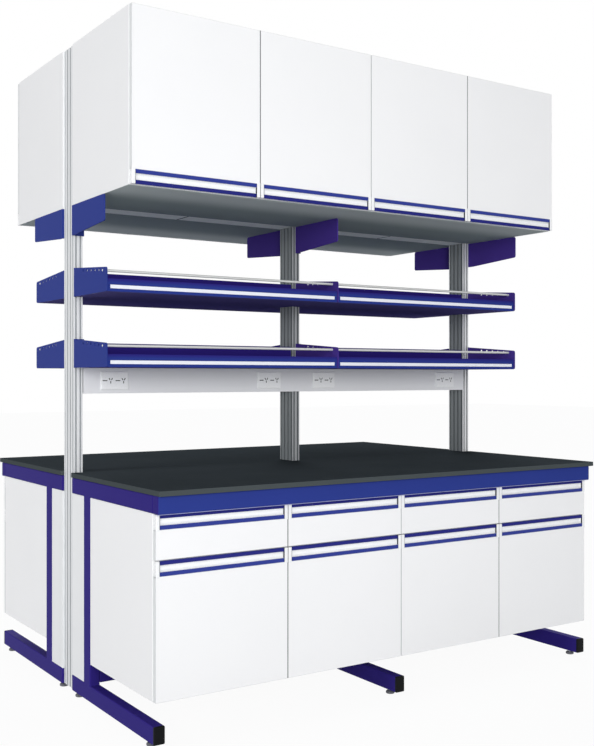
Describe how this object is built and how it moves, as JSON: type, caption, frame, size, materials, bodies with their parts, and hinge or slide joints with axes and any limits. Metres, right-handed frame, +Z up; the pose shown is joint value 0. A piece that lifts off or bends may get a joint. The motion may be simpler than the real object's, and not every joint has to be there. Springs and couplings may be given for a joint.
{
  "type": "lab bench with reagent shelf",
  "caption": "Double-sided lab island bench with black worktop, blue steel frames, white drawers and cupboards, a reagent shelf on columns and overhead cupboards.",
  "frame": {"origin": "on the floor under the middle of the bench", "axes": "+Z up, X along the bench's length, the two working sides face -Y (front) and +Y (rear)"},
  "size_m": [2.068, 1.632, 2.489],
  "materials": {
    "blue_steel": "semi-gloss powder coat",
    "aluminium": "satin anodised",
    "white_board": "white melamine on board",
    "black_laminate": "black phenolic laminate",
    "grey_steel": "light grey powder coat"
  },
  "bodies": {
    "bench": {"frame_front_left": "blue_steel", "frame_front_right": "blue_steel", "frame_rear_left": "blue_steel", "frame_rear_right": "blue_steel", "frame_middle": "blue_steel", "apron_front": "blue_steel", "apron_rear": "blue_steel", "column_left": "aluminium", "column_middle": "aluminium", "column_right": "aluminium", "worktop_front": "black_laminate", "worktop_rear": "black_laminate", "end_panel_left": "white_board", "end_panel_right": "white_board", "base_carcass_front": "white_board", "overhead_carcass_front": "white_board", "base_carcass_rear": "white_board", "overhead_carcass_rear": "white_board", "overhead_arm_left": "blue_steel", "shelf_bracket_lower_left": "blue_steel", "shelf_bracket_upper_left": "blue_steel", "overhead_arm_middle": "blue_steel", "shelf_bracket_lower_middle": "blue_steel", "shelf_bracket_upper_middle": "blue_steel", "overhead_arm_right": "blue_steel", "shelf_bracket_lower_right": "blue_steel", "shelf_bracket_upper_right": "blue_steel", "shelf_tray_lower_left": "blue_steel", "shelf_tray_lower_right": "blue_steel", "guard_rod_lower_front": "aluminium", "guard_rod_lower_rear": "aluminium", "shelf_tray_upper_left": "blue_steel", "shelf_tray_upper_right": "blue_steel", "guard_rod_upper_front": "aluminium", "guard_rod_upper_rear": "aluminium", "service_raceway": "grey_steel"},
    "drawer_front_1": {"drawer_front_1": "white_board"},
    "base_door_front_1": {"base_door_front_1": "white_board"},
    "overhead_door_front_1": {"overhead_door_front_1": "white_board"},
    "drawer_front_2": {"drawer_front_2": "white_board"},
    "base_door_front_2": {"base_door_front_2": "white_board"},
    "overhead_door_front_2": {"overhead_door_front_2": "white_board"},
    "drawer_front_3": {"drawer_front_3": "white_board"},
    "base_door_front_3": {"base_door_front_3": "white_board"},
    "overhead_door_front_3": {"overhead_door_front_3": "white_board"},
    "drawer_front_4": {"drawer_front_4": "white_board"},
    "base_door_front_4": {"base_door_front_4": "white_board"},
    "overhead_door_front_4": {"overhead_door_front_4": "white_board"},
    "drawer_rear_1": {"drawer_rear_1": "white_board"},
    "base_door_rear_1": {"base_door_rear_1": "white_board"},
    "overhead_door_rear_1": {"overhead_door_rear_1": "white_board"},
    "drawer_rear_2": {"drawer_rear_2": "white_board"},
    "base_door_rear_2": {"base_door_rear_2": "white_board"},
    "overhead_door_rear_2": {"overhead_door_rear_2": "white_board"},
    "drawer_rear_3": {"drawer_rear_3": "white_board"},
    "base_door_rear_3": {"base_door_rear_3": "white_board"},
    "overhead_door_rear_3": {"overhead_door_rear_3": "white_board"},
    "drawer_rear_4": {"drawer_rear_4": "white_board"},
    "base_door_rear_4": {"base_door_rear_4": "white_board"},
    "overhead_door_rear_4": {"overhead_door_rear_4": "white_board"}
  },
  "joints": [
    {"name": "drawer_front_1_slide", "type": "slide", "parent": "bench", "child": "drawer_front_1", "axis": [0, -1, 0], "range_m": [0, 0.4]},
    {"name": "base_door_front_1_hinge", "type": "hinge", "parent": "bench", "child": "base_door_front_1", "pos_m": [-1.0265, -0.775, 0.387], "axis": [0, 0, -1], "range_deg": [0, 90]},
    {"name": "overhead_door_front_1_hinge", "type": "hinge", "parent": "bench", "child": "overhead_door_front_1", "pos_m": [-1.0265, -0.59, 2.181], "axis": [0, 0, -1], "range_deg": [0, 90]},
    {"name": "drawer_front_2_slide", "type": "slide", "parent": "bench", "child": "drawer_front_2", "axis": [0, -1, 0], "range_m": [0, 0.4]},
    {"name": "base_door_front_2_hinge", "type": "hinge", "parent": "bench", "child": "base_door_front_2", "pos_m": [-0.0015, -0.775, 0.387], "axis": [0, 0, 1], "range_deg": [0, 90]},
    {"name": "overhead_door_front_2_hinge", "type": "hinge", "parent": "bench", "child": "overhead_door_front_2", "pos_m": [-0.0015, -0.59, 2.181], "axis": [0, 0, 1], "range_deg": [0, 90]},
    {"name": "drawer_front_3_slide", "type": "slide", "parent": "bench", "child": "drawer_front_3", "axis": [0, -1, 0], "range_m": [0, 0.4]},
    {"name": "base_door_front_3_hinge", "type": "hinge", "parent": "bench", "child": "base_door_front_3", "pos_m": [0.0015, -0.775, 0.387], "axis": [0, 0, -1], "range_deg": [0, 90]},
    {"name": "overhead_door_front_3_hinge", "type": "hinge", "parent": "bench", "child": "overhead_door_front_3", "pos_m": [0.0015, -0.59, 2.181], "axis": [0, 0, -1], "range_deg": [0, 90]},
    {"name": "drawer_front_4_slide", "type": "slide", "parent": "bench", "child": "drawer_front_4", "axis": [0, -1, 0], "range_m": [0, 0.4]},
    {"name": "base_door_front_4_hinge", "type": "hinge", "parent": "bench", "child": "base_door_front_4", "pos_m": [1.0265, -0.775, 0.387], "axis": [0, 0, 1], "range_deg": [0, 90]},
    {"name": "overhead_door_front_4_hinge", "type": "hinge", "parent": "bench", "child": "overhead_door_front_4", "pos_m": [1.0265, -0.59, 2.181], "axis": [0, 0, 1], "range_deg": [0, 90]},
    {"name": "drawer_rear_1_slide", "type": "slide", "parent": "bench", "child": "drawer_rear_1", "axis": [0, 1, 0], "range_m": [0, 0.4]},
    {"name": "base_door_rear_1_hinge", "type": "hinge", "parent": "bench", "child": "base_door_rear_1", "pos_m": [1.0265, 0.775, 0.387], "axis": [0, 0, -1], "range_deg": [0, 90]},
    {"name": "overhead_door_rear_1_hinge", "type": "hinge", "parent": "bench", "child": "overhead_door_rear_1", "pos_m": [1.0265, 0.59, 2.181], "axis": [0, 0, -1], "range_deg": [0, 90]},
    {"name": "drawer_rear_2_slide", "type": "slide", "parent": "bench", "child": "drawer_rear_2", "axis": [0, 1, 0], "range_m": [0, 0.4]},
    {"name": "base_door_rear_2_hinge", "type": "hinge", "parent": "bench", "child": "base_door_rear_2", "pos_m": [0.0015, 0.775, 0.387], "axis": [0, 0, 1], "range_deg": [0, 90]},
    {"name": "overhead_door_rear_2_hinge", "type": "hinge", "parent": "bench", "child": "overhead_door_rear_2", "pos_m": [0.0015, 0.59, 2.181], "axis": [0, 0, 1], "range_deg": [0, 90]},
    {"name": "drawer_rear_3_slide", "type": "slide", "parent": "bench", "child": "drawer_rear_3", "axis": [0, 1, 0], "range_m": [0, 0.4]},
    {"name": "base_door_rear_3_hinge", "type": "hinge", "parent": "bench", "child": "base_door_rear_3", "pos_m": [-0.0015, 0.775, 0.387], "axis": [0, 0, -1], "range_deg": [0, 90]},
    {"name": "overhead_door_rear_3_hinge", "type": "hinge", "parent": "bench", "child": "overhead_door_rear_3", "pos_m": [-0.0015, 0.59, 2.181], "axis": [0, 0, -1], "range_deg": [0, 90]},
    {"name": "drawer_rear_4_slide", "type": "slide", "parent": "bench", "child": "drawer_rear_4", "axis": [0, 1, 0], "range_m": [0, 0.4]},
    {"name": "base_door_rear_4_hinge", "type": "hinge", "parent": "bench", "child": "base_door_rear_4", "pos_m": [-1.0265, 0.775, 0.387], "axis": [0, 0, 1], "range_deg": [0, 90]},
    {"name": "overhead_door_rear_4_hinge", "type": "hinge", "parent": "bench", "child": "overhead_door_rear_4", "pos_m": [-1.0265, 0.59, 2.181], "axis": [0, 0, 1], "range_deg": [0, 90]}
  ]
}
